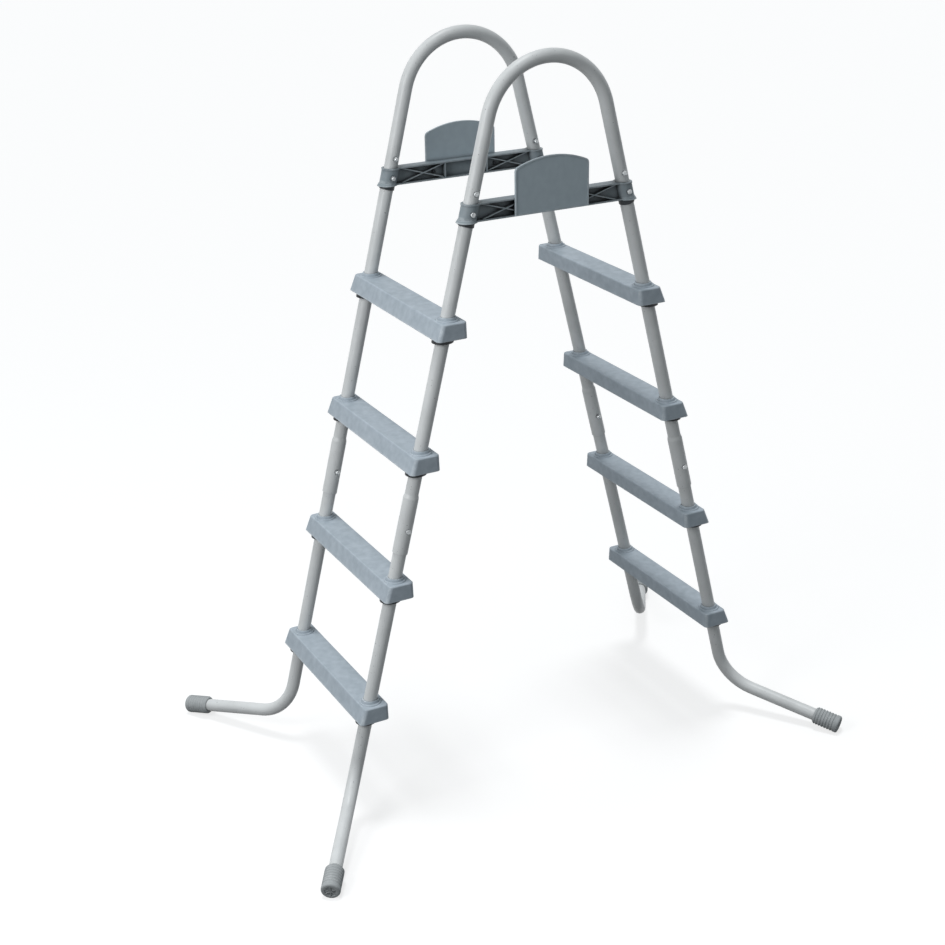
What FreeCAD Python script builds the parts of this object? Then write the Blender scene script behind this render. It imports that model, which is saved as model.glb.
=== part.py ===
import FreeCAD, Part
import Sketcher
import math
import os

# A-frame ladder for an above-ground pool: two bent handrails and two braces straddle the pool
# wall, and four legs below them carry four treads on each side.
# Millimetres and degrees, +Z up, origin on the ground in the middle of the four feet.
# X runs along the climb, Y across the treads. The "near" rail is at -Y, the "far" rail at +Y,
# the "left" ladder at -X and the "right" ladder at +X.

os.makedirs("parts", exist_ok=True)
doc = FreeCAD.newDocument("pool_ladder")

DIMENSIONS = {
    # tubes
    "tube_od": 28.0,
    "tube_wall": 1.5,
    "tube_fit": 0.4,          # radial gap where one tube slides in another
    "seat_gap": 0.3,          # gap between a tube and the plastic round it
    "bolt_gap": 0.2,          # below a bolt head, a nut or a screw head
    "end_gap": 1.0,           # between the end of a handrail and the shoulder below it
    # frame
    "lean_angle": 14.1,       # each leg from the vertical
    "leg_x_floor": 494.0,     # leg axis from the middle, carried down to the ground
    "rail_half": 177.0,       # leg axis from the middle, across the treads
    "handrail_end_z": 1282.0,
    "bend_centre_z": 1412.0,
    "spigot_top_z": 1328.0,
    "coupling_bottom_z": 590.0,
    "coupling_length": 127.0,
    "flare_length": 8.0,
    "inserted_length": 110.0,  # lower leg inside the coupling
    "spigot_shoulder": 4.0,
    # feet
    "foot_node_z": 72.6,      # where the axes of a leg and its foot meet
    "foot_splay": 56.5,       # plan angle of a foot from the X axis
    "foot_slope": 10.9,       # a foot falls towards its tip
    "foot_length": 289.0,     # from the node to the tip of the cap
    "foot_bend": 100.0,
    "cap_length": 60.0,
    "cap_radius": 20.0,
    "cap_edge": 4.5,
    "cap_mouth": 5.0,         # length of the taper where the tube goes in
    "cap_mouth_radius": 16.5,
    "cap_groove": 1.4,
    "cap_pitch": 6.8,
    "cap_floor": 9.0,
    "cap_dish_radius": 12.6,  # pockets in the end of a cap, with radial ribs left between them
    "cap_dish_depth": 1.6,
    "cap_rib": 1.8,
    # treads
    "tread_pitch": 265.0,
    "tread_first_z": 267.5,   # top of the lowest tread
    "tread_depth_top": 54.0,
    "tread_depth_base": 66.0,
    "tread_length_top": 414.0,
    "tread_length_base": 420.0,
    "tread_height": 33.0,
    "tread_inset": 3.0,       # centre of the top, inwards from the leg axis
    "tread_shear": 6.3,       # centre of the foot of the skirt, outwards from the centre of the top
    "tread_wall": 3.0,
    "tread_corner": 9.0,
    "tread_edge": 3.5,
    "sleeve_radius": 18.0,
    "sleeve_lift": 6.0,       # end of a sleeve above the foot of the skirt
    "rib_depth": 13.0,
    "rib_top": 2.0,           # below the top of the tread
    "rib_reach": 50.0,
    "rib_shift": 1.2,         # outwards, with the slant of the skirt
    "rib_wall": 2.0,
    "boss_root": 2.0,         # foot of a boss below the top of the tread
    "boss_radius": 24.0,
    "boss_step_radius": 22.0,
    "boss_step": 2.2,         # wide step of a boss above the top of the tread
    "boss_neck_radius": 19.8,
    "boss_rim_radius": 16.6,
    "boss_rise": 7.5,         # rim of a boss above the top of the tread
    "bush_radius": 21.5,
    "bush_blank": 27.0,       # length of a bush before its lower end is cut level
    "bush_show": 9.8,         # depth of that level end below the foot of the skirt
    # brace and plate
    "brace_bottom_z": 1250.0,
    "brace_height": 36.0,
    "brace_width": 25.0,
    "brace_skin": 3.0,
    "stiffener_x": 50.0,
    "truss_outer_x": 150.0,
    "truss_rib": 2.4,
    "truss_width": 20.0,
    "collar_radius": 17.6,
    "collar_rim_radius": 19.5,
    "collar_tail_radius": 21.5,
    "collar_tail": 6.0,
    "ring_radius": 15.9,
    "ring_length": 15.5,
    "ring_drop": 8.0,
    "plate_half": 82.0,
    "plate_side": 92.0,
    "plate_peak": 110.0,
    "plate_thickness": 5.0,
    "plate_rim": 3.0,
    "plate_recess": 0.8,
    "plate_corner": 10.0,
    "plate_lift": 1.5,
    "plate_screw_x": 73.0,
    "plate_screw_z": 16.5,
    "plate_boss_radius": 4.5,
    # fasteners
    "bolt_radius": 3.0,
    "bolt_hole": 3.4,
    "bolt_head_radius": 5.4,
    "bolt_head_rim": 1.6,
    "bolt_dome": 3.2,
    "nut_circumradius": 5.8,
    "nut_hex": 4.6,
    "nut_dome": 4.4,
    "nut_dome_radius": 4.9,
    "handrail_bolt_z": 1305.0,
    "collar_bolt_z": 1267.0,
    "coupling_bolt_z": 640.0,
    "screw_radius": 1.6,
    "screw_hole": 2.0,
    "screw_head_radius": 3.6,
    "screw_head": 2.4,
    "screw_drop": 19.0,       # tread screws below the top of the tread
}

sheet = doc.addObject("Spreadsheet::Sheet", "dims")
for row, (alias, value) in enumerate(DIMENSIONS.items(), start=1):
    sheet.set(f"A{row}", alias)
    sheet.set(f"B{row}", str(value))
    sheet.setAlias(f"B{row}", alias)
doc.recompute()


def dim(alias):
    return float(sheet.get(alias))


LEFT, RIGHT = -1, 1
NEAR, FAR = -1, 1
SIDES = {"left": LEFT, "right": RIGHT}
ROWS = {"near": NEAR, "far": FAR}
TREAD_COUNT = 4
TREAD_RIBS = 5
NEARLY = 0.01
CAP_GROOVES = 7
CAP_RIBS = 3
LEAN = math.radians(dim("lean_angle"))
X_AXIS = FreeCAD.Vector(1, 0, 0)
Y_AXIS = FreeCAD.Vector(0, 1, 0)
Z_AXIS = FreeCAD.Vector(0, 0, 1)
LEAN_TEXT = "dims.lean_angle * 1 deg"
sub_parts = []


# ---------------------------------------------------------------- places on the frame

def leg_point(side, row, height):
    """A point on a leg's axis at a height above the ground."""
    reach = dim("leg_x_floor") - height * math.tan(LEAN)
    return FreeCAD.Vector(side * reach, row * dim("rail_half"), height)


def leg_up(side):
    return FreeCAD.Vector(-side * math.sin(LEAN), 0, math.cos(LEAN))


def foot_out(side, row):
    splay = math.radians(dim("foot_splay"))
    slope = math.radians(dim("foot_slope"))
    level = math.cos(slope)
    return FreeCAD.Vector(side * math.cos(splay) * level, row * math.sin(splay) * level,
                          -math.sin(slope))


def frame_at(origin, z_way, x_way):
    """Placement with its Z along z_way and its X as near x_way as a right angle allows."""
    z_way = FreeCAD.Vector(z_way).normalize()
    y_way = z_way.cross(x_way).normalize()
    return FreeCAD.Placement(origin, FreeCAD.Rotation(y_way.cross(z_way), y_way, z_way, "ZXY"))


def tread_top(level):
    """Height of a tread, counted from 1 at the top."""
    return dim("tread_first_z") + (TREAD_COUNT - level) * dim("tread_pitch")


# ---------------------------------------------------------------- document helpers

def bind(piece, formulas):
    for prop, formula in formulas.items():
        piece.setExpression(prop, formula)
    return piece


def cylinder(name, radius, height, base=None):
    piece = bind(doc.addObject("Part::Cylinder", name), {"Radius": radius, "Height": height})
    if base:
        piece.Placement = base
    return piece


def box(name, length, width, height, low=()):
    """A box from its low corner. Sizes and corner are formulas."""
    piece = bind(doc.addObject("Part::Box", name),
                 {"Length": length, "Width": width, "Height": height})
    return bind(piece, {f"Placement.Base.{axis}": value for axis, value in zip("xyz", low)})


def stack(name, sections):
    """Round sections one on another along Z: each is (bottom radius, top radius, height)."""
    pieces = []
    level = "0"
    for count, (low, high, height) in enumerate(sections, start=1):
        part_name = f"{name}_{count}"
        if low == high:
            piece = cylinder(part_name, low, height)
        else:
            piece = bind(doc.addObject("Part::Cone", part_name),
                         {"Radius1": low, "Radius2": high, "Height": height})
        bind(piece, {"Placement.Base.z": level})
        level = f"{level} + {height}"
        pieces.append(piece)
    return fuse(name, pieces)


def fuse(name, pieces):
    if len(pieces) == 1:
        return pieces[0]
    joined = doc.addObject("Part::MultiFuse", name)
    joined.Shapes = pieces
    joined.Refine = True
    return joined


def cut(name, base, tools):
    piece = doc.addObject("Part::Cut", name)
    piece.Base = base
    piece.Tool = fuse(f"{name}_tools", tools)
    piece.Refine = True
    return piece


def finish(piece, label, place):
    """Name a finished sub-part and put it where it belongs."""
    piece.Label = label
    piece.Placement = place
    sub_parts.append(piece)
    return piece


def hole(name, place, middle, way, radius, length):
    """A drill for a sub-part placed at place, through a point of the ladder."""
    start = middle - FreeCAD.Vector(way) * length / 2
    drill = frame_at(start, way, Z_AXIS)
    return cylinder(name, radius, str(length), place.inverse() * drill)


def origin_plane(body, role):
    return next(item for item in body.Origin.OriginFeatures if item.Role == role)


def sketch_on(body, name, role, offset=None):
    sketch = body.newObject("Sketcher::SketchObject", name)
    sketch.AttachmentSupport = [(origin_plane(body, role), "")]
    sketch.MapMode = "FlatFace"
    if offset:
        sketch.setExpression("AttachmentOffset.Base.z", offset)
    return sketch


# ---------------------------------------------------------------- bent tubes

def value_of(formula):
    result = sheet.evalExpression(formula)
    return float(getattr(result, "Value", result))


def spine(name, start_x, start_y, heading, first, radius, turn, last):
    """A line, an arc to the left and a line, in a sketch laid in the XZ plane."""
    path = doc.addObject("Sketcher::SketchObject", name)
    path.Placement = FreeCAD.Placement(FreeCAD.Vector(), FreeCAD.Rotation(X_AXIS, 90))
    way = math.radians(value_of(heading))
    out = way + math.radians(value_of(turn))
    begin = FreeCAD.Vector(value_of(start_x), value_of(start_y), 0)
    bend_in = begin + FreeCAD.Vector(math.cos(way), math.sin(way), 0) * value_of(first)
    centre = bend_in + FreeCAD.Vector(-math.sin(way), math.cos(way), 0) * value_of(radius)
    bend_out = centre + FreeCAD.Vector(math.sin(out), -math.cos(out), 0) * value_of(radius)
    end = bend_out + FreeCAD.Vector(math.cos(out), math.sin(out), 0) * value_of(last)
    circle = Part.Circle(centre, Z_AXIS, value_of(radius))
    path.addGeometry(Part.LineSegment(begin, bend_in), False)
    path.addGeometry(Part.ArcOfCircle(circle, way - math.pi / 2, out - math.pi / 2), False)
    path.addGeometry(Part.LineSegment(bend_out, end), False)
    path.addConstraint(Sketcher.Constraint("Tangent", 0, 2, 1, 1))
    path.addConstraint(Sketcher.Constraint("Tangent", 1, 2, 2, 1))
    named = (("start_x", start_x, ("DistanceX", -1, 1, 0, 1, begin.x)),
             ("start_y", start_y, ("DistanceY", -1, 1, 0, 1, begin.y)),
             ("first", first, ("Distance", 0, value_of(first))),
             ("radius", radius, ("Radius", 1, value_of(radius))),
             ("last", last, ("Distance", 2, value_of(last))))
    for label, formula, values in named:
        number = path.addConstraint(Sketcher.Constraint(*values))
        path.renameConstraint(number, label)
        path.setExpression(f"Constraints.{label}", formula)
    for label, line, size in (("heading", 0, way), ("exit", 2, out)):
        number = path.addConstraint(Sketcher.Constraint("Angle", line, math.remainder(size, math.tau)))
        path.renameConstraint(number, label)
    return path


def swept(name, path, radius):
    """A round bar along a spine, with its radius bound to a formula."""
    start = path.Geometry[0].StartPoint
    heading = path.Geometry[0].EndPoint - start
    section = bind(doc.addObject("Part::Circle", f"{name}_section"), {"Radius": radius})
    section.Placement = path.Placement * FreeCAD.Placement(start, FreeCAD.Rotation(Z_AXIS, heading))
    bar = doc.addObject("Part::Sweep", name)
    bar.Sections = [section]
    bar.Spine = (path, ["Edge1", "Edge2", "Edge3"])
    bar.Solid = True
    bar.Frenet = False
    return bar


def bent_tube(name, path, drills):
    """A hollow tube along a spine with its cross holes."""
    outer = swept(f"{name}_outer", path, "dims.tube_od / 2")
    inner = swept(f"{name}_inner", path, "dims.tube_od / 2 - dims.tube_wall")
    return cut(f"{name}_tube", cut(f"{name}_pipe", outer, [inner]), drills)


def leg_x_formula(height):
    return f"(dims.leg_x_floor - ({height}) * tan({LEAN_TEXT}))"


def handrail(row_name, row):
    """One inverted U: both ends stop inside the top of the brace collars."""
    label = f"handrail_{row_name}"
    bend_x = leg_x_formula("dims.bend_centre_z")
    radius = f"{bend_x} * cos({LEAN_TEXT})"
    straight = (f"(dims.bend_centre_z + {radius} * sin({LEAN_TEXT}) - dims.handrail_end_z)"
                f" / cos({LEAN_TEXT})")
    path = spine(f"{label}_spine", leg_x_formula("dims.handrail_end_z"), "dims.handrail_end_z",
                 "90 + dims.lean_angle", straight, radius, "180 - 2 * dims.lean_angle", straight)
    place = FreeCAD.Placement(Y_AXIS * row * dim("rail_half"), FreeCAD.Rotation())
    drills = [hole(f"{label}_bolt_hole_{side_name}", place, leg_point(side, row, dim("handrail_bolt_z")),
                   Y_AXIS, "dims.bolt_hole", 2 * dim("tube_od"))
              for side_name, side in SIDES.items()]
    return finish(bent_tube(label, path, drills), label, place)


def upper_leg(side_name, side, row_name, row):
    """Straight tube: a reduced spigot goes up into the handrail, and the lower end is swelled
    into a coupling that takes the lower leg."""
    label = f"upper_leg_{side_name}_{row_name}"
    along = f"/ cos({LEAN_TEXT})"
    rise = f"((dims.handrail_end_z - dims.end_gap - dims.coupling_bottom_z) {along})"
    spigot = f"((dims.spigot_top_z - dims.handrail_end_z) {along})"
    radius = "dims.tube_od / 2"
    socket = "dims.tube_od / 2 + dims.tube_fit + dims.tube_wall"
    socket_bore = "dims.tube_od / 2 + dims.tube_fit"
    bore = "dims.tube_od / 2 - dims.tube_wall"
    neck = "dims.tube_od / 2 - dims.tube_wall - dims.tube_fit"
    neck_bore = "dims.tube_od / 2 - 2 * dims.tube_wall - dims.tube_fit"
    cup = "(dims.coupling_length - dims.flare_length)"
    shoulder = "dims.spigot_shoulder"
    outer = stack(f"{label}_outer", [
        (socket, socket, cup), (socket, radius, "dims.flare_length"),
        (radius, radius, f"({rise} - dims.coupling_length - {shoulder})"),
        (radius, neck, shoulder), (neck, neck, spigot)])
    inner = stack(f"{label}_inner", [
        (socket_bore, socket_bore, cup), (socket_bore, bore, "dims.flare_length"),
        (bore, bore, f"({rise} - dims.coupling_length - 2 * {shoulder})"),
        (bore, neck_bore, shoulder), (neck_bore, neck_bore, f"({spigot} + {shoulder})")])
    place = frame_at(leg_point(side, row, dim("coupling_bottom_z")), leg_up(side), X_AXIS)
    heights = [dim("coupling_bolt_z"), dim("collar_bolt_z"), dim("handrail_bolt_z")]
    drills = [hole(f"{label}_bolt_hole_{count}", place, leg_point(side, row, height), Y_AXIS,
                   "dims.bolt_hole", 2 * dim("tube_od"))
              for count, height in enumerate(heights, start=1)]
    drills += tread_screw_holes(label, place, side, row, levels=(1, 2))
    tube = cut(f"{label}_pipe", outer, [inner])
    return finish(cut(f"{label}_tube", tube, drills), label, place)


def tread_screw_holes(label, place, side, row, levels):
    """Pilot holes in the tube wall that faces the other rail, one a tread."""
    drills = []
    for level in levels:
        middle = leg_point(side, row, tread_top(level) - dim("screw_drop"))
        middle -= Y_AXIS * row * dim("tube_od") / 2
        drills.append(hole(f"{label}_screw_hole_{level}", place, middle, Y_AXIS,
                           "dims.screw_hole", dim("tube_od") / 2))
    return drills


def lower_leg(side_name, side, row_name, row):
    """Straight tube that turns at the bottom into a foot, which splays outwards."""
    label = f"lower_leg_{side_name}_{row_name}"
    turn = (f"acos(sin({LEAN_TEXT}) * cos(dims.foot_splay * 1 deg) * cos(dims.foot_slope * 1 deg)"
            f" + cos({LEAN_TEXT}) * sin(dims.foot_slope * 1 deg)) / 1 deg")
    tangent = f"dims.foot_bend * tan(({turn}) * 0.5 deg)"
    reach = f"((dims.coupling_bottom_z - dims.foot_node_z) / cos({LEAN_TEXT}) + dims.inserted_length)"
    path = spine(f"{label}_spine", "0", reach, "-90", f"{reach} - {tangent}", "dims.foot_bend", turn,
                 f"dims.foot_length - dims.cap_floor - dims.seat_gap - {tangent}")
    node = leg_point(side, row, dim("foot_node_z"))
    place = frame_at(node, leg_up(side), foot_out(side, row))
    drills = [hole(f"{label}_bolt_hole", place, leg_point(side, row, dim("coupling_bolt_z")), Y_AXIS,
                   "dims.bolt_hole", 2 * dim("tube_od"))]
    drills += tread_screw_holes(label, place, side, row, levels=(3, 4))
    return finish(bent_tube(label, path, drills), label, place)


# ---------------------------------------------------------------- rubber foot caps

def end_pockets(name):
    """The shallow pockets in a cap's end: a dish with straight ribs left across it."""
    dish = bind(doc.addObject("Part::Cone", f"{name}_dish"),
                {"Radius1": "dims.cap_dish_radius - dims.cap_dish_depth", "Radius2": "dims.cap_dish_radius",
                 "Height": "dims.cap_dish_depth", "Placement.Base.z": "-dims.cap_dish_depth"})
    ribs = []
    for count in range(CAP_RIBS):
        rib = box(f"{name}_rib_{count}", "2 * dims.cap_radius", "dims.cap_rib", "dims.cap_dish_depth")
        turn = FreeCAD.Placement(FreeCAD.Vector(), FreeCAD.Rotation(Z_AXIS, 180 * count / CAP_RIBS))
        low_corner = FreeCAD.Vector(-dim("cap_radius"), -dim("cap_rib") / 2, -dim("cap_dish_depth"))
        rib.Placement = turn * FreeCAD.Placement(low_corner, FreeCAD.Rotation())
        ribs.append(rib)
    return cut(name, dish, ribs)


def foot_cap(side_name, side, row_name, row):
    """Ribbed rubber sleeve with a tapered mouth and a closed end with six pockets. The sole is flat
    where it meets the ground."""
    label = f"foot_cap_{side_name}_{row_name}"
    crest, edge = "dims.cap_radius", "dims.cap_edge"
    mouth = bind(doc.addObject("Part::Cone", f"{label}_mouth"),
                 {"Radius1": "dims.cap_mouth_radius", "Radius2": crest, "Height": "dims.cap_mouth",
                  "Placement.Base.z": "-dims.cap_length"})
    barrel = bind(cylinder(f"{label}_barrel", crest, f"dims.cap_length - dims.cap_mouth - {edge}"),
                  {"Placement.Base.z": "dims.cap_mouth - dims.cap_length"})
    rounding = bind(doc.addObject("Part::Torus", f"{label}_rounding"),
                    {"Radius1": f"{crest} - {edge}", "Radius2": edge, "Placement.Base.z": f"-{edge}"})
    face = bind(cylinder(f"{label}_face", f"{crest} - {edge}", f"2 * {edge}"),
                {"Placement.Base.z": f"-2 * {edge}"})
    blank = fuse(f"{label}_blank", [mouth, barrel, rounding, face])
    bore = bind(cylinder(f"{label}_bore", "dims.tube_od / 2 + dims.seat_gap",
                         "dims.cap_length - dims.cap_floor"), {"Placement.Base.z": "-dims.cap_length"})
    grooves = [bind(doc.addObject("Part::Torus", f"{label}_groove_{count}"),
                    {"Radius1": f"{crest} + 1", "Radius2": "dims.cap_groove + 1",
                     "Placement.Base.z": f"-dims.cap_length + {count} * dims.cap_pitch"})
               for count in range(1, CAP_GROOVES + 1)]
    out = foot_out(side, row)
    tip = leg_point(side, row, dim("foot_node_z")) + out * dim("foot_length")
    place = frame_at(tip, out, Z_AXIS)
    ground = box(f"{label}_ground", "6 * dims.cap_radius", "6 * dims.cap_radius", "dims.cap_radius")
    corner = FreeCAD.Vector(tip.x - 3 * dim("cap_radius"), tip.y - 3 * dim("cap_radius"), -dim("cap_radius"))
    ground.Placement = place.inverse() * FreeCAD.Placement(corner, FreeCAD.Rotation())
    tools = [bore, ground, end_pockets(f"{label}_pockets")] + grooves
    return finish(cut(f"{label}_cap", blank, tools), label, place)


# ---------------------------------------------------------------- treads

def tapered_block(name, margin, top):
    """The tread's drafted block, or its hollow when a wall is taken off each side. It slants
    outwards on its way down, as the legs do."""
    wedge = doc.addObject("Part::Wedge", name)
    wedge.Placement = FreeCAD.Placement(FreeCAD.Vector(), FreeCAD.Rotation(X_AXIS, 90))
    slant = f"({top}) * dims.tread_shear / dims.tread_height"
    sizes = {"X": ("dims.tread_depth", "dims.tread_shear", slant), "Z": ("dims.tread_length", "0", "0")}
    for axis, (size, base_shift, top_shift) in sizes.items():
        for side, sign in (("min", "-"), ("max", "")):
            bind(wedge, {f"{axis}{side}": f"{sign}({size}_base / 2 - {margin}) + {base_shift}",
                         f"{axis}2{side}": f"{sign}({size}_top / 2 - {margin}) - {top_shift}"})
    return bind(wedge, {"Ymin": "-dims.tread_height", "Ymax": top})


def rounded(name, base, wanted, radius):
    """Round the edges of a finished blank whose bounds pass a test."""
    doc.recompute()
    fillet = doc.addObject("Part::Fillet", name)
    fillet.Base = base
    fillet.Edges = [(count, radius, radius) for count, edge in enumerate(base.Shape.Edges, start=1)
                    if wanted(edge.BoundBox)]
    doc.recompute()
    return fillet


def leg_axis_in_tread(row, start_z):
    """Placement on a leg's axis, in the tread's own frame, from a height above its top."""
    across = dim("tread_inset") - start_z * math.tan(LEAN)
    return FreeCAD.Placement(FreeCAD.Vector(across, row * dim("rail_half"), start_z),
                             FreeCAD.Rotation(Y_AXIS, -dim("lean_angle")))


def tread_boss(name, row):
    """Two round steps where a tube comes out of the top: a low wide one and a steep collar."""
    middle = leg_axis_in_tread(row, dim("boss_rise") / 2).Base
    steps = (("step", "dims.boss_radius", "dims.boss_step_radius", "dims.boss_step"),
             ("collar", "dims.boss_neck_radius", "dims.boss_rim_radius", "dims.boss_rise"))
    cones = []
    for part, low, high, rise in steps:
        cone = bind(doc.addObject("Part::Cone", f"{name}_{part}"),
                    {"Radius1": low, "Radius2": high, "Height": f"dims.boss_root + {rise}"})
        cone.Placement.Base = FreeCAD.Vector(middle.x, middle.y, -dim("boss_root"))
        cones.append(cone)
    return cones


def tread(side_name, side, level):
    """Hollow moulded tread: drafted skirt, ribs below the deck, a sleeve and a stepped boss
    round each tube."""
    label = f"tread_{side_name}_{level}"
    block = tapered_block(f"{label}_block", "0", "0")
    corners = rounded(f"{label}_corners", block, lambda bounds: bounds.ZLength > NEARLY,
                      dim("tread_corner"))
    blank = rounded(f"{label}_edge", corners, lambda bounds: bounds.ZMin > -NEARLY, dim("tread_edge"))
    hollow = tapered_block(f"{label}_hollow", "dims.tread_wall", "-dims.tread_wall")
    sleeve_foot = leg_axis_in_tread(NEAR, dim("sleeve_lift") - dim("tread_height")).Base
    solids = [cut(f"{label}_shell", blank, [hollow])]
    for row_name, row in ROWS.items():
        solids.append(cylinder(f"{label}_sleeve_{row_name}", "dims.sleeve_radius",
                               "dims.tread_height - dims.sleeve_lift - dims.tread_wall",
                               leg_axis_in_tread(row, sleeve_foot.z)))
        solids += tread_boss(f"{label}_boss_{row_name}", row)
    span = "2 * (dims.rail_half - dims.sleeve_radius)"
    rib_low = "-dims.rib_depth - dims.rib_top"
    solids.append(box(f"{label}_spine", "dims.tread_wall", span, "dims.rib_depth",
                      ("-dims.tread_wall / 2", f"-({span}) / 2", rib_low)))
    for count in range(1, TREAD_RIBS + 1):
        middle = f"({span}) * {count / (TREAD_RIBS + 1) - 0.5}"
        solids.append(box(f"{label}_rib_{count}", "dims.rib_reach", "dims.rib_wall", "dims.rib_depth",
                          ("dims.rib_shift - dims.rib_reach / 2", f"{middle} - dims.rib_wall / 2",
                           rib_low)))
    drills = []
    screw_x = leg_axis_in_tread(NEAR, -dim("screw_drop")).Base.x
    for row_name, row in ROWS.items():
        drills.append(cylinder(f"{label}_bore_{row_name}", "dims.tube_od / 2 + dims.seat_gap",
                               "3 * dims.tread_height", leg_axis_in_tread(row, -1.5 * dim("tread_height"))))
        middle = FreeCAD.Vector(screw_x, row * dim("rail_half"), -dim("screw_drop"))
        drills.append(cylinder(f"{label}_screw_hole_{row_name}", "dims.screw_hole", "dims.sleeve_radius + 4",
                               FreeCAD.Placement(middle, FreeCAD.Rotation(Z_AXIS, Y_AXIS * -row))))
    top = tread_top(level)
    reach = leg_point(side, 1, top).x - side * dim("tread_inset")
    turn = FreeCAD.Rotation(Z_AXIS, 0 if side == RIGHT else 180)
    return finish(cut(f"{label}_moulding", fuse(f"{label}_solids", solids), drills), label,
                  FreeCAD.Placement(FreeCAD.Vector(reach, 0, top), turn))


def round_liner(label, side, row, height, radius, length):
    """Plastic ring on a leg: its lower end is at a height above the ground."""
    wall = cylinder(f"{label}_wall", radius, length)
    bore = cylinder(f"{label}_bore", "dims.tube_od / 2 + dims.seat_gap", length)
    return finish(cut(f"{label}_ring", wall, [bore]), label,
                  frame_at(leg_point(side, row, height), leg_up(side), X_AXIS))


def tread_bush(side_name, side, row_name, row, level):
    """Dark bush that carries one end of a tread. Its lower end is level and shows below the skirt."""
    label = f"bush_{side_name}_{level}_{row_name}"
    below = dim("tread_height") - dim("sleeve_lift") + dim("tube_fit")
    low_end = leg_point(side, row, tread_top(level) - below - dim("bush_blank") * math.cos(LEAN))
    place = frame_at(low_end, leg_up(side), X_AXIS)
    wall = cylinder(f"{label}_wall", "dims.bush_radius", "dims.bush_blank")
    bore = cylinder(f"{label}_bore", "dims.tube_od / 2 + dims.seat_gap", "dims.bush_blank")
    waste = box(f"{label}_waste", "4 * dims.bush_radius", "4 * dims.bush_radius", "dims.bush_blank")
    foot = leg_point(side, row, tread_top(level) - dim("tread_height") - dim("bush_show"))
    corner = foot - FreeCAD.Vector(2 * dim("bush_radius"), 2 * dim("bush_radius"), dim("bush_blank"))
    waste.Placement = place.inverse() * FreeCAD.Placement(corner, FreeCAD.Rotation())
    return finish(cut(f"{label}_body", wall, [bore, waste]), label, place)


# ---------------------------------------------------------------- braces and plates

def leg_axis_in_brace(side, start_z):
    """Placement on a leg's axis, in the brace's own frame, at a height above the ground."""
    across = leg_point(side, 1, start_z).x
    return FreeCAD.Placement(FreeCAD.Vector(across, 0, start_z - dim("brace_bottom_z")),
                             FreeCAD.Rotation(Y_AXIS, -side * dim("lean_angle")))


def collar(label, side_name, side):
    """Sleeve round one leg with level rims: the lower rim is wider and ends in a thin tail."""
    low = dim("brace_bottom_z")
    sleeve = cylinder(f"{label}_sleeve_{side_name}", "dims.collar_radius", "2 * dims.brace_height",
                      leg_axis_in_brace(side, low - dim("brace_height") / 2))
    slab = box(f"{label}_slab_{side_name}", "4 * dims.truss_outer_x", "4 * dims.brace_width",
               "dims.brace_height", ("-2 * dims.truss_outer_x", "-2 * dims.brace_width", "0"))
    trimmed = doc.addObject("Part::Common", f"{label}_trimmed_{side_name}")
    trimmed.Base = sleeve
    trimmed.Tool = slab
    top_x = leg_point(side, 1, low + dim("brace_height")).x
    rim = bind(cylinder(f"{label}_rim_{side_name}", "dims.collar_rim_radius", "dims.brace_skin"),
               {"Placement.Base.z": "dims.brace_height - dims.brace_skin"})
    rim.Placement.Base.x = top_x
    tail = doc.addObject("Part::Cone", f"{label}_tail_{side_name}")
    bind(tail, {"Radius1": "dims.collar_tail_radius", "Radius2": "dims.collar_radius",
                "Height": "dims.collar_tail"})
    tail.Placement.Base.x = leg_point(side, 1, low).x
    return [trimmed, rim, tail]


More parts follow.
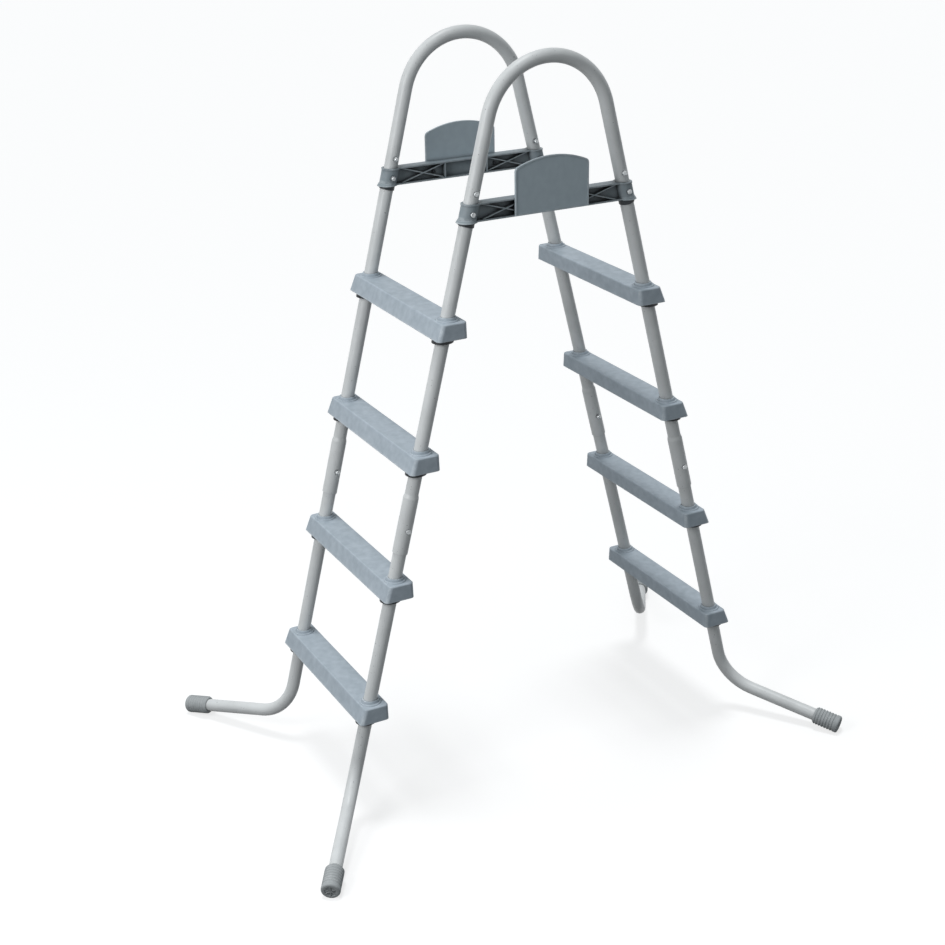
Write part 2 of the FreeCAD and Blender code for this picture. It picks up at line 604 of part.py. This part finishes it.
def brace(row_name, row):
    """Moulded I-beam that joins the two legs of one rail, with crossed ribs in its end bays."""
    label = f"brace_{row_name}"
    low = dim("brace_bottom_z")
    top_half = leg_x_formula("dims.brace_bottom_z + dims.brace_height")
    base_half = leg_x_formula("dims.brace_bottom_z")
    web_height = "dims.brace_height - 2 * dims.brace_skin"
    pieces = [
        box(f"{label}_top", f"2 * {top_half}", "dims.brace_width", "dims.brace_skin",
            (f"-{top_half}", "-dims.brace_width / 2", "dims.brace_height - dims.brace_skin")),
        box(f"{label}_base", f"2 * {base_half}", "dims.brace_width", "dims.brace_skin",
            (f"-{base_half}", "-dims.brace_width / 2", "0")),
        box(f"{label}_web", f"2 * {top_half}", "dims.brace_skin", web_height,
            (f"-{top_half}", "-dims.brace_skin / 2", "dims.brace_skin")),
    ]
    bay = dim("truss_outer_x") - dim("stiffener_x")
    clear = dim("brace_height") - 2 * dim("brace_skin")
    rib_length = math.hypot(bay, clear)
    slant = math.degrees(math.atan2(clear, bay))
    for side_name, side in SIDES.items():
        low_corner = (f"{side} * dims.stiffener_x - dims.brace_skin / 2", "-dims.brace_width / 2",
                      "dims.brace_skin")
        pieces.append(box(f"{label}_stiffener_{side_name}", "dims.brace_skin", "dims.brace_width",
                          web_height, low_corner))
        centre = FreeCAD.Vector(side * (dim("stiffener_x") + bay / 2), 0, dim("brace_height") / 2)
        corner = FreeCAD.Vector(-rib_length / 2, -dim("truss_width") / 2, -dim("truss_rib") / 2)
        for tilt_name, tilt in (("rising", 1), ("falling", -1)):
            rib = box(f"{label}_rib_{side_name}_{tilt_name}", str(rib_length), "dims.truss_width",
                      "dims.truss_rib")
            rib.Placement = (FreeCAD.Placement(centre, FreeCAD.Rotation(Y_AXIS, tilt * slant))
                             * FreeCAD.Placement(corner, FreeCAD.Rotation()))
            pieces.append(rib)
        pieces += collar(label, side_name, side)
    drills = []
    for side_name, side in SIDES.items():
        drills.append(cylinder(f"{label}_bore_{side_name}", "dims.tube_od / 2 + dims.seat_gap",
                               "3 * dims.brace_height", leg_axis_in_brace(side, low - dim("brace_height"))))
        recess = cylinder(f"{label}_recess_{side_name}", "dims.ring_radius + dims.seat_gap",
                          "2 * dims.ring_length + 1", leg_axis_in_brace(side, low - dim("ring_drop")
                                                                    - dim("ring_length")))
        drills.append(recess)
        bolt_x = leg_point(side, 1, dim("collar_bolt_z")).x
        crosswise = FreeCAD.Rotation(Z_AXIS, Y_AXIS)
        drills.append(cylinder(f"{label}_bolt_hole_{side_name}", "dims.bolt_hole", "3 * dims.collar_radius",
                               FreeCAD.Placement(FreeCAD.Vector(bolt_x, -1.5 * dim("collar_radius"),
                                                                dim("collar_bolt_z") - low), crosswise)))
        drills.append(cylinder(f"{label}_screw_hole_{side_name}", "dims.screw_hole", "dims.brace_width",
                               FreeCAD.Placement(FreeCAD.Vector(side * dim("plate_screw_x"),
                                                                -dim("brace_width") / 2,
                                                                dim("plate_screw_z")), crosswise)))
    place = FreeCAD.Placement(FreeCAD.Vector(0, row * dim("rail_half"), low), plate_side(row))
    return finish(cut(f"{label}_moulding", fuse(f"{label}_beam", pieces), drills), label, place)


def plate_side(row):
    """The near brace and plate face -Y. The far pair is the same, turned half round."""
    return FreeCAD.Rotation(Z_AXIS, 0 if row == NEAR else 180)


def shield(sketch, margin):
    """Straight foot and sides under a shallow arch, inset by a margin, in formulas."""
    half = value_of(f"dims.plate_half - {margin}")
    foot = value_of(margin)
    shoulder = value_of(f"dims.plate_side - {margin}")
    crown = value_of(f"dims.plate_peak - {margin}")
    points = [FreeCAD.Vector(*xy, 0) for xy in ((-half, shoulder), (-half, foot), (half, foot),
                                                (half, shoulder))]
    for start, end in zip(points, points[1:]):
        sketch.addGeometry(Part.LineSegment(start, end), False)
    sketch.addGeometry(Part.Arc(points[3], FreeCAD.Vector(0, crown, 0), points[0]), False)
    for first, second in ((0, 1), (1, 2)):
        sketch.addConstraint(Sketcher.Constraint("Coincident", first, 2, second, 1))
    sketch.addConstraint(Sketcher.Constraint("Coincident", 2, 2, 3, 1))
    sketch.addConstraint(Sketcher.Constraint("Coincident", 3, 2, 0, 1))
    sketch.addConstraint(Sketcher.Constraint("Vertical", 0))
    sketch.addConstraint(Sketcher.Constraint("Horizontal", 1))
    sketch.addConstraint(Sketcher.Constraint("Vertical", 2))
    sketch.addConstraint(Sketcher.Constraint("Symmetric", 0, 1, 2, 2, -2))
    arch = ("((dims.plate_half - {0}) ^ 2 + (dims.plate_peak - dims.plate_side) ^ 2)"
            " / (2 * (dims.plate_peak - dims.plate_side))").format(margin)
    named = (("half", f"dims.plate_half - {margin}", ("DistanceX", -1, 1, 1, 2, half)),
             ("foot", margin, ("DistanceY", -1, 1, 1, 2, foot)),
             ("shoulder", f"dims.plate_side - {margin}", ("DistanceY", -1, 1, 2, 2, shoulder)),
             ("arch", arch, ("Radius", 3, value_of(arch))))
    for label, formula, values in named:
        number = sketch.addConstraint(Sketcher.Constraint(*values))
        sketch.renameConstraint(number, label)
        sketch.setExpression(f"Constraints.{label}", formula)


def body_fillet(body, name, base, edges, radius):
    fillet = body.newObject("PartDesign::Fillet", name)
    fillet.Base = (base, edges)
    fillet.setExpression("Radius", radius)
    doc.recompute()
    return fillet


def pad(body, kind, name, sketch, length, away):
    feature = body.newObject(kind, name)
    feature.Profile = sketch
    feature.setExpression("Length", length)
    feature.Reversed = away
    doc.recompute()
    return feature


def across_edges(shape, low_x):
    """Straight edges along Y at the two top corners of the plate."""
    found = []
    for count, edge in enumerate(shape.Edges, start=1):
        bounds = edge.BoundBox
        across = bounds.XLength < NEARLY and bounds.ZLength < NEARLY
        if across and abs(bounds.XMin) > low_x and bounds.ZMin > dim("plate_side") / 2:
            found.append(f"Edge{count}")
    return found


def plate(row_name, row):
    """Flat name-plate blank with a thin rim, on the outer edges of the brace. Two bosses reach
    between the flanges to the web."""
    label = f"plate_{row_name}"
    body = doc.addObject("PartDesign::Body", label)
    outline = sketch_on(body, f"{label}_outline", "XZ_Plane")
    shield(outline, "0")
    doc.recompute()
    slab = pad(body, "PartDesign::Pad", f"{label}_slab", outline, "dims.plate_thickness", False)
    body_fillet(body, f"{label}_corners", slab, across_edges(slab.Shape, dim("plate_half") - 1),
            "dims.plate_corner")
    field = sketch_on(body, f"{label}_field", "XZ_Plane", "dims.plate_thickness")
    shield(field, "dims.plate_rim")
    doc.recompute()
    recess = pad(body, "PartDesign::Pocket", f"{label}_recess", field, "dims.plate_recess", False)
    inner = across_edges(recess.Shape, dim("plate_half") - dim("plate_rim") - 1)
    inner = [name for name in inner
             if abs(recess.Shape.getElement(name).BoundBox.XMin) < dim("plate_half") - 1]
    body_fillet(body, f"{label}_recess_corners", recess, inner, "dims.plate_corner - dims.plate_rim")
    gap = dim("brace_width") / 2 - dim("brace_skin") / 2 - dim("seat_gap")
    for side_name, side in SIDES.items():
        boss = bind(body.newObject("PartDesign::AdditiveCylinder", f"{label}_boss_{side_name}"),
                    {"Radius": "dims.plate_boss_radius"})
        boss.Height = gap + 1
        centre = FreeCAD.Vector(side * dim("plate_screw_x"), -1, dim("plate_screw_z") - dim("plate_lift"))
        boss.Placement = FreeCAD.Placement(centre, FreeCAD.Rotation(Z_AXIS, Y_AXIS))
        doc.recompute()
        pilot = bind(body.newObject("PartDesign::SubtractiveCylinder", f"{label}_pilot_{side_name}"),
                     {"Radius": "dims.screw_hole"})
        pilot.Height = gap + 2
        pilot.Placement = boss.Placement
        doc.recompute()
    out = dim("brace_width") / 2 + dim("seat_gap")
    centre = FreeCAD.Vector(0, row * (dim("rail_half") + out), dim("brace_bottom_z") + dim("plate_lift"))
    return finish(body, label, FreeCAD.Placement(centre, plate_side(row)))


def collar_ring(side_name, side, row_name, row):
    """Dark split-free ring seated in the foot of a brace collar."""
    return round_liner(f"collar_ring_{side_name}_{row_name}", side, row,
                       dim("brace_bottom_z") - dim("ring_drop"), "dims.ring_radius", "dims.ring_length")


# ---------------------------------------------------------------- fasteners

def dome(name, height, radius, base):
    return bind(doc.addObject("Part::Ellipsoid", name),
                {"Radius1": height, "Radius2": radius, "Angle1": "0 deg", "Angle2": "90 deg",
                 "Placement.Base.z": base})


def domed_bolt(name, seat):
    """Round-headed bolt, head up from z = 0. It reaches through two seats and its nut."""
    rim = cylinder(f"{name}_rim", "dims.bolt_head_radius", "dims.bolt_head_rim")
    cap = dome(f"{name}_dome", "dims.bolt_dome", "dims.bolt_head_radius", "dims.bolt_head_rim")
    shank = bind(cylinder(f"{name}_shank", "dims.bolt_radius", f"2 * ({seat}) + dims.nut_hex + 1"),
                 {"Placement.Base.z": f"-(2 * ({seat}) + dims.nut_hex)"})
    return fuse(name, [rim, cap, shank])


def dome_nut(name):
    """Hexagon nut with a closed dome, seat at z = 0."""
    hexagon = bind(doc.addObject("Part::Prism", f"{name}_hexagon"),
                   {"Circumradius": "dims.nut_circumradius", "Height": "dims.nut_hex"})
    hexagon.Polygon = 6
    cap = dome(f"{name}_dome", "dims.nut_dome", "dims.nut_dome_radius", "dims.nut_hex")
    bore = bind(cylinder(f"{name}_bore", "dims.bolt_hole", "dims.nut_hex + 2"), {"Placement.Base.z": "-1"})
    return cut(name, fuse(f"{name}_body", [hexagon, cap]), [bore])


def pan_screw(name, length):
    """Self-tapping screw with a low round head, its thread left plain."""
    head = cylinder(f"{name}_head", "dims.screw_head_radius", "dims.screw_head")
    shank = bind(cylinder(f"{name}_shank", "dims.screw_radius", f"{length} + 1"),
                 {"Placement.Base.z": f"-({length})"})
    return fuse(name, [head, shank])


def group(label, pattern, places):
    """Identical loose pieces in one node, each a solid of its own."""
    doc.recompute()
    copies = []
    for place in places:
        copied = pattern.Shape.copy()
        copied.Placement = place * copied.Placement
        copies.append(copied)
    piece = doc.addObject("Part::Feature", label)
    piece.Shape = Part.makeCompound(copies)
    piece.Label = label
    sub_parts.append(piece)
    return piece


def leg_bolts(name, height, seat):
    """Four bolts across the legs at one height, heads outside and dome nuts inside."""
    bolts, nuts = [], []
    reach = value_of(seat)
    for side in SIDES.values():
        for row in ROWS.values():
            out = Y_AXIS * row
            middle = leg_point(side, row, height)
            bolts.append(frame_at(middle + out * reach, out, X_AXIS))
            nuts.append(frame_at(middle - out * reach, out * -1, X_AXIS))
    group(f"{name}_bolts", domed_bolt(f"{name}_bolt", seat), bolts)
    group(f"{name}_nuts", dome_nut(f"{name}_nut"), nuts)


def tread_screws():
    """One screw an end holds each tread to its tube, from inside the hollow of the tread."""
    places = []
    for side in SIDES.values():
        for row in ROWS.values():
            for level in range(1, TREAD_COUNT + 1):
                middle = leg_point(side, row, tread_top(level) - dim("screw_drop"))
                inward = Y_AXIS * -row
                seat = middle + inward * (dim("sleeve_radius") + dim("bolt_gap"))
                places.append(frame_at(seat, inward, X_AXIS))
    group("tread_screws", pan_screw("tread_screw", "dims.sleeve_radius - dims.tube_od / 2 + 6"), places)


def plate_screws():
    """Two screws a brace go through the web into the bosses of the plate."""
    places = []
    for side in SIDES.values():
        for row in ROWS.values():
            inward = Y_AXIS * -row
            centre = FreeCAD.Vector(side * dim("plate_screw_x"), row * dim("rail_half"),
                                    dim("brace_bottom_z") + dim("plate_screw_z"))
            seat = centre + inward * (dim("brace_skin") / 2 + dim("bolt_gap"))
            places.append(frame_at(seat, inward, X_AXIS))
    group("plate_screws", pan_screw("plate_screw", "dims.brace_skin + 8"), places)


# ---------------------------------------------------------------- the assembly

for row_name, row in ROWS.items():
    handrail(row_name, row)
    brace(row_name, row)
    plate(row_name, row)
for side_name, side in SIDES.items():
    for level in range(1, TREAD_COUNT + 1):
        tread(side_name, side, level)
    for row_name, row in ROWS.items():
        upper_leg(side_name, side, row_name, row)
        lower_leg(side_name, side, row_name, row)
        foot_cap(side_name, side, row_name, row)
        collar_ring(side_name, side, row_name, row)
        for level in range(1, TREAD_COUNT + 1):
            tread_bush(side_name, side, row_name, row, level)
leg_bolts("handrail", dim("handrail_bolt_z"), "dims.tube_od / 2 + dims.bolt_gap")
leg_bolts("collar", dim("collar_bolt_z"), "dims.collar_radius + dims.bolt_gap")
leg_bolts("coupling", dim("coupling_bolt_z"),
          "dims.tube_od / 2 + dims.tube_fit + dims.tube_wall + dims.bolt_gap")
tread_screws()
plate_screws()
doc.recompute()

for item in doc.Objects:
    if "Invalid" in item.State or "Error" in item.State:
        raise RuntimeError(f"{item.Name} failed: {item.State}")
for piece in sub_parts:
    if piece.Shape.isNull() or not piece.Shape.isValid() or not piece.Shape.Solids:
        raise RuntimeError(f"{piece.Label} has no sound shape")
    piece.Shape.exportStep(os.path.join("parts", f"{piece.Label}.step"))
    bounds = piece.Shape.BoundBox
    print(f"{piece.Label}: {len(piece.Shape.Solids)} solids, {piece.Shape.Volume:.0f} mm3, "
          f"z {bounds.ZMin:.1f} to {bounds.ZMax:.1f}")
print(len(sub_parts), "nodes")
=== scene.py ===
import bpy
import math
from mathutils import Matrix, Vector

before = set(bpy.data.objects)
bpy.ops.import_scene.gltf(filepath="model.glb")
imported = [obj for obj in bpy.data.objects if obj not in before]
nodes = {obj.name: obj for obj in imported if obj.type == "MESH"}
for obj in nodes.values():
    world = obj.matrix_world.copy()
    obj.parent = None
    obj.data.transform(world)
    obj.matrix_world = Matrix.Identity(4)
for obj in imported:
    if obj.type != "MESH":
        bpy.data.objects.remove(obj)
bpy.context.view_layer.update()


# ---- Camera
# It stands on the near left of the ladder, a little above the handrails, and looks down over the
# left treads to the right ones. A long lens on a level stand, tipped about a degree.
camera_place = Vector((-1.6505, -2.9973, 2.0793))
camera_yaw, camera_pitch, camera_roll = 27.585, -22.983, -1.014
camera_lens = 64.86

yaw, pitch, roll = (math.radians(turn) for turn in (camera_yaw, camera_pitch, camera_roll))
forward = Vector((math.sin(yaw) * math.cos(pitch), math.cos(yaw) * math.cos(pitch), math.sin(pitch)))
level_right = Vector((math.cos(yaw), -math.sin(yaw), 0))
level_up = level_right.cross(forward)
right = level_right * math.cos(roll) + level_up * math.sin(roll)
up = level_up * math.cos(roll) - level_right * math.sin(roll)
camera = bpy.data.objects.new("camera", bpy.data.cameras.new("camera"))
camera.data.sensor_width = 36
camera.data.lens = camera_lens
camera.matrix_world = Matrix.Translation(camera_place) @ Matrix((right, up, -forward)).transposed().to_4x4()
bpy.context.scene.collection.objects.link(camera)
bpy.context.scene.camera = camera
bpy.context.scene.view_settings.view_transform = "Standard"


# ---- Floor and light
# A wide white floor under a white surround. A broad light hangs almost overhead, and a softbox on the
# near left fills the left faces, so that the near and right-hand faces fall into shade.
floor_size = 400
floor_glow, floor_seen, floor_bounce = 0.73, "A0A1A2", "505050"
overhead_way = Vector((-0.03, 0.096, 0.995))
overhead_strength, overhead_spread = 1.18, 14.0
softbox_place, softbox_aim = Vector((-2.35, -0.59, 2.01)), Vector((0, 0, 0.75))
softbox_size, softbox_watts = 1.2, 30.0
surround_light, surround_tint = 0.32, (0.90, 0.97, 1.0, 1)


def colour(code):
    """sRGB hex to linear."""
    parts = [int(code[start:start + 2], 16) / 255 for start in (0, 2, 4)]
    return [part / 12.92 if part <= 0.04045 else ((part + 0.055) / 1.055) ** 2.4 for part in parts] + [1]


def add_node(tree, kind, links=None, **settings):
    """One shader node. Settings name its properties; links give each input a socket or a value."""
    node = tree.nodes.new(kind)
    for name, value in settings.items():
        setattr(node, name, value)
    for name, value in (links or {}).items():
        if isinstance(value, bpy.types.NodeSocket):
            tree.links.new(value, node.inputs[name])
        else:
            node.inputs[name].default_value = value
    return node


def new_material(name):
    """An empty node material and its tree."""
    material = bpy.data.materials.new(name)
    material.use_nodes = True
    material.node_tree.nodes.clear()
    return material, material.node_tree


def shown_directly(tree):
    """1 where a surface is seen straight on, in a reflection or through something clear."""
    ray = add_node(tree, "ShaderNodeLightPath")
    mirrored = add_node(tree, "ShaderNodeMath", {0: ray.outputs["Is Camera Ray"],
                                                 1: ray.outputs["Is Glossy Ray"]}, operation="MAXIMUM")
    return add_node(tree, "ShaderNodeMath", {0: mirrored.outputs[0], 1: ray.outputs["Is Transmission Ray"]},
                    operation="MAXIMUM").outputs[0]


floor_mesh = bpy.data.meshes.new("floor")
half_floor = floor_size / 2
floor_mesh.from_pydata([(-half_floor, -half_floor, 0), (half_floor, -half_floor, 0),
                        (half_floor, half_floor, 0), (-half_floor, half_floor, 0)], [], [(0, 1, 2, 3)])
floor = bpy.data.objects.new("floor", floor_mesh)
bpy.context.scene.collection.objects.link(floor)
floor_paint, tree = new_material("white_floor")
shadow_catch = add_node(tree, "ShaderNodeBsdfDiffuse", {"Color": colour(floor_seen)})
glow = add_node(tree, "ShaderNodeEmission", {"Color": (1, 1, 1, 1), "Strength": floor_glow})
seen = add_node(tree, "ShaderNodeAddShader", {0: shadow_catch.outputs[0], 1: glow.outputs[0]})
bounce = add_node(tree, "ShaderNodeBsdfDiffuse", {"Color": colour(floor_bounce)})
mixed = add_node(tree, "ShaderNodeMixShader", {0: shown_directly(tree), 1: bounce.outputs[0],
                                               2: seen.outputs[0]})
add_node(tree, "ShaderNodeOutputMaterial", {"Surface": mixed.outputs[0]})
floor_mesh.materials.append(floor_paint)

world = bpy.data.worlds.new("surround")
world.use_nodes = True
bpy.context.scene.world = world
tree = world.node_tree
tree.nodes.clear()
white = add_node(tree, "ShaderNodeBackground", {"Color": (1, 1, 1, 1), "Strength": 1.0})
soft = add_node(tree, "ShaderNodeBackground", {"Color": surround_tint, "Strength": surround_light})
mixed = add_node(tree, "ShaderNodeMixShader", {0: shown_directly(tree), 1: soft.outputs[0],
                                               2: white.outputs[0]})
add_node(tree, "ShaderNodeOutputWorld", {"Surface": mixed.outputs[0]})

overhead = bpy.data.objects.new("overhead_light", bpy.data.lights.new("overhead_light", "SUN"))
overhead.data.energy = overhead_strength
overhead.data.angle = math.radians(overhead_spread)
overhead.matrix_world = overhead_way.to_track_quat("Z", "Y").to_matrix().to_4x4()
bpy.context.scene.collection.objects.link(overhead)

softbox = bpy.data.objects.new("softbox", bpy.data.lights.new("softbox", "AREA"))
softbox.data.size = softbox_size
softbox.data.energy = softbox_watts
softbox.matrix_world = (Matrix.Translation(softbox_place)
                        @ (softbox_place - softbox_aim).to_track_quat("Z", "Y").to_matrix().to_4x4())
bpy.context.scene.collection.objects.link(softbox)


# ---- Powder-coated tubes
# Round steel tube, bent, swaged and cut, coated all over with light grey powder and baked. Satin,
# with a faint orange peel, duller where hands and plastic have rubbed it, and darkened by painted
# shade near the joints and close under the treads and collars.
tube_grey, tube_dull, tube_fleck, joint_shade_share = "DDE0E1", "D2D5D6", "A3A6A8", 0.25
peel_mm, smear_mm, fleck_mm, joint_shade_mm = 4.0, 90.0, 5.0, 36.0
tube_rough, tube_smooth, peel_strength, peel_depth_mm = 0.48, 0.34, 0.12, 0.5
corner_shut, corner_open = 0.25, 0.85


def spread(tree, kind, size_mm, **inputs):
    """A noise or cell pattern in the object's own space, with its grain in millimetres."""
    place = add_node(tree, "ShaderNodeTexCoord")
    return add_node(tree, kind, {"Vector": place.outputs["Object"], "Scale": 1000 / size_mm, **inputs})


def ramp(tree, value, *stops):
    """Colours laid along a value: each stop is a position and an sRGB hex."""
    node = add_node(tree, "ShaderNodeValToRGB", {"Fac": value})
    points = node.color_ramp.elements
    for position, code in stops[2:]:
        points.new(position)
    for point, (position, code) in zip(points, stops):
        point.position = position
        point.color = colour(code)
    return node.outputs["Color"]


def blended(tree, amount, first, second, mode="MIX"):
    """Two colours mixed by an amount, each a socket or a colour."""
    node = add_node(tree, "ShaderNodeMix", {0: amount}, data_type="RGBA", blend_type=mode)
    for socket, value in ((node.inputs[6], first), (node.inputs[7], second)):
        if isinstance(value, bpy.types.NodeSocket):
            tree.links.new(value, socket)
        else:
            socket.default_value = value
    return node.outputs[2]


def painted_corner_shade(tree, tint, reach_mm, least):
    """Painted shade: the colour darkened by ambient occlusion in corners and recesses, down to a share of
    itself.
    """
    open_sky = add_node(tree, "ShaderNodeAmbientOcclusion", {"Distance": reach_mm / 1000}, samples=8)
    share = add_node(tree, "ShaderNodeMapRange", {"Value": open_sky.outputs["AO"], "From Min": corner_shut,
                                                  "From Max": corner_open, "To Min": least, "To Max": 1.0})
    return blended(tree, 1.0, tint, share.outputs[0], "MULTIPLY")


coat, tree = new_material("powder_coated_steel")
smear = spread(tree, "ShaderNodeTexNoise", smear_mm, Detail=4.0, Roughness=0.6)
fleck = spread(tree, "ShaderNodeTexNoise", fleck_mm, Detail=2.0)
tint = ramp(tree, smear.outputs["Fac"], (0.35, tube_dull), (0.6, tube_grey))
chips = add_node(tree, "ShaderNodeMapRange", {"Value": fleck.outputs["Fac"], "From Min": 0.70,
                                              "From Max": 0.76})
tint = blended(tree, chips.outputs[0], tint, colour(tube_fleck))
# Painted shade: the coat darkened near joints and close under the treads and collars, down to a quarter.
tint = painted_corner_shade(tree, tint, joint_shade_mm, joint_shade_share)
peel = spread(tree, "ShaderNodeTexNoise", peel_mm, Detail=2.0)
dimple = add_node(tree, "ShaderNodeBump", {"Height": peel.outputs["Fac"], "Strength": peel_strength,
                                           "Distance": peel_depth_mm / 1000})
gloss = add_node(tree, "ShaderNodeMapRange", {"Value": smear.outputs["Fac"], "To Min": tube_rough,
                                              "To Max": tube_smooth})
skin = add_node(tree, "ShaderNodeBsdfPrincipled", {"Base Color": tint, "Roughness": gloss.outputs[0],
                                                   "Specular IOR Level": 0.5, "Normal": dimple.outputs[0]})
add_node(tree, "ShaderNodeOutputMaterial", {"Surface": skin.outputs[0]})


def dress(material, *starts):
    """Gives one material to every CAD node whose name has one of these beginnings."""
    for name, piece in nodes.items():
        if name.startswith(starts):
            piece.data.materials.clear()
            piece.data.materials.append(material)


dress(coat, "handrail_near", "handrail_far", "upper_leg", "lower_leg")


# ---- Treads
# Hollow moulded polypropylene steps, blue grey, with a fine spark-eroded grain. Each is threaded on its
# two tubes, stands on dark bushes, and is screwed to the tubes from inside.
tread_blue, tread_pale, tread_wear_and_highlight = "A1ADB7", "B4BFC9", "D2DAE0"
cloud_mm, scuff_mm, edge_mm, soften_mm = 16.0, 12.0, 3.0, 1.0
most_edge_paling, grain_strength, grain_depth_mm, sheen_swing = 0.7, 0.25, 0.4, 0.08


def moulded(name, shade, pale, wear_and_highlight, grain_mm, dull, reach_mm, least):
    """Moulded plastic: cloudy tone, pale edges that are partly scuffs and partly painted highlight, a fine
    grain, and painted shade in its corners.
    """
    plastic, tree = new_material(name)
    cloud = spread(tree, "ShaderNodeTexNoise", cloud_mm, Detail=3.0)
    tint = ramp(tree, cloud.outputs["Fac"], (0.3, shade), (0.75, pale))
    streak = spread(tree, "ShaderNodeTexNoise", scuff_mm, Detail=5.0, Roughness=0.7)
    # Convex edges are painted pale: partly scuffed wear, partly a painted highlight where edges catch the
    # light.
    edge = add_node(tree, "ShaderNodeAmbientOcclusion", {"Distance": edge_mm / 1000}, samples=8,
                    inside=True, only_local=True)
    edge_wear_and_highlight = add_node(tree, "ShaderNodeMapRange", {"Value": edge.outputs["AO"], "From Min": 0.95,
                                                 "From Max": 0.55, "To Min": 0.0, "To Max": most_edge_paling})
    patch = add_node(tree, "ShaderNodeMapRange", {"Value": streak.outputs["Fac"], "From Min": 0.35,
                                                  "From Max": 0.65})
    rubbed_and_lit = add_node(tree, "ShaderNodeMath", {0: edge_wear_and_highlight.outputs[0], 1: patch.outputs[0]},
                      operation="MULTIPLY")
    tint = blended(tree, rubbed_and_lit.outputs[0], tint, colour(wear_and_highlight))
    # Painted shade: corners and recesses darkened, down to the share given by least.
    tint = painted_corner_shade(tree, tint, reach_mm, least)
    grain = spread(tree, "ShaderNodeTexNoise", grain_mm, Detail=1.0)
    soft_edge = add_node(tree, "ShaderNodeBevel", {"Radius": soften_mm / 1000}, samples=4)
    stipple = add_node(tree, "ShaderNodeBump", {"Height": grain.outputs["Fac"], "Strength": grain_strength,
                                                "Distance": grain_depth_mm / 1000,
                                                "Normal": soft_edge.outputs[0]})
    sheen = add_node(tree, "ShaderNodeMapRange", {"Value": streak.outputs["Fac"],
                                                  "To Min": dull + sheen_swing,
                                                  "To Max": dull - sheen_swing})
    skin = add_node(tree, "ShaderNodeBsdfPrincipled", {"Base Color": tint, "Roughness": sheen.outputs[0],
                                                       "IOR": 1.49, "Specular IOR Level": 0.35,
                                                       "Normal": stipple.outputs[0]})
    add_node(tree, "ShaderNodeOutputMaterial", {"Surface": skin.outputs[0]})
    return plastic


# The treads get painted shade in their corners and round the tubes, and pale edges that are partly wear and
# partly painted highlight.
dress(moulded("moulded_polypropylene", tread_blue, tread_pale, tread_wear_and_highlight, grain_mm=2.4, dull=0.55,
              reach_mm=14.0, least=0.38), "tread_left", "tread_right")


# ---- Braces
# Glass-filled nylon beams, a darker blue grey than the treads. The edges of the ribs and flanges are
# painted pale, partly as wear and partly as painted highlight, and the cells between the crossed ribs
# are darkened by painted shade.
brace_shade, brace_pale, brace_wear_and_highlight = "88949B", "97A1A7", "C3CBD0"
dress(moulded("glass_filled_nylon", brace_shade, brace_pale, brace_wear_and_highlight, grain_mm=3.0, dull=0.5,
              reach_mm=30.0, least=0.05), "brace")


# ---- Name plates
# Flat moulded blanks with a thin raised rim, left plain. Paler and smoother than the brace they are
# screwed to.
plate_shade, plate_pale, plate_wear_and_highlight = "B2C0C9", "BAC8D0", "DAE1E4"
# The raised rim gets pale edges, partly wear and partly painted highlight, and painted shade along its
# inner foot.
dress(moulded("smooth_moulded_plate", plate_shade, plate_pale, plate_wear_and_highlight, grain_mm=6.0, dull=0.45,
              reach_mm=10.0, least=0.5), "plate_near", "plate_far")


# ---- Bushes and rings
# Near-black acetal: bushes under each tread and rings in the feet of the brace collars. Turned smooth,
# with a low shine, edges painted a little grey, partly as rubbed wear and partly as painted highlight,
# and painted shade in their corners.
bush_black, bush_grey, bush_wear_and_highlight = "14181C", "20252A", "3C4247"
dress(moulded("black_acetal", bush_black, bush_grey, bush_wear_and_highlight, grain_mm=5.0, dull=0.45, reach_mm=8.0,
              least=0.5), "bush", "collar_ring")


# ---- Foot caps
# Ribbed grey rubber sleeves, pushed over the ends of the feet. Matt, with painted shade in the grooves
# and in the pockets of the end, and the crests of the ribs painted pale, partly as wear and partly as
# painted highlight.
cap_shade, cap_pale, cap_wear_and_highlight = "A5AAAC", "B2B6B8", "CDD0D1"
dress(moulded("grey_rubber", cap_shade, cap_pale, cap_wear_and_highlight, grain_mm=3.0, dull=0.72, reach_mm=6.0,
              least=0.4), "foot_cap")


# ---- Bolts, nuts and screws
# Steel, zinc plated: bright grey with a slight blue, dulled by weather. The small screws have a black
# oxide finish.
zinc_dull, zinc_bright, zinc_rough = "7F8386", "BDC1C3", 0.28
oxide_dull, oxide_bright, oxide_rough = "1D1F21", "33363A", 0.5
spot_mm, rough_swing, metal_shade_share = 2.5, 0.1, 0.35


def plated(name, dull, bright, roughness):
    """Plated steel: a bright metal with cloudy dull spots, darkened by painted shade in its recesses."""
    metal, tree = new_material(name)
    spot = spread(tree, "ShaderNodeTexNoise", spot_mm, Detail=3.0)
    tint = ramp(tree, spot.outputs["Fac"], (0.35, dull), (0.65, bright))
    # Painted shade: the plating darkened in its recesses and under the heads.
    tint = painted_corner_shade(tree, tint, spot_mm, metal_shade_share)
    haze = add_node(tree, "ShaderNodeMapRange", {"Value": spot.outputs["Fac"],
                                                 "To Min": roughness + rough_swing,
                                                 "To Max": roughness - rough_swing})
    skin = add_node(tree, "ShaderNodeBsdfPrincipled", {"Base Color": tint, "Metallic": 1.0,
                                                       "Roughness": haze.outputs[0]})
    add_node(tree, "ShaderNodeOutputMaterial", {"Surface": skin.outputs[0]})
    return metal


dress(plated("zinc_plated_steel", zinc_dull, zinc_bright, zinc_rough), "handrail_bolts", "handrail_nuts",
      "collar_bolts", "collar_nuts", "coupling_bolts", "coupling_nuts")
dress(plated("black_oxide_steel", oxide_dull, oxide_bright, oxide_rough), "tread_screws", "plate_screws")
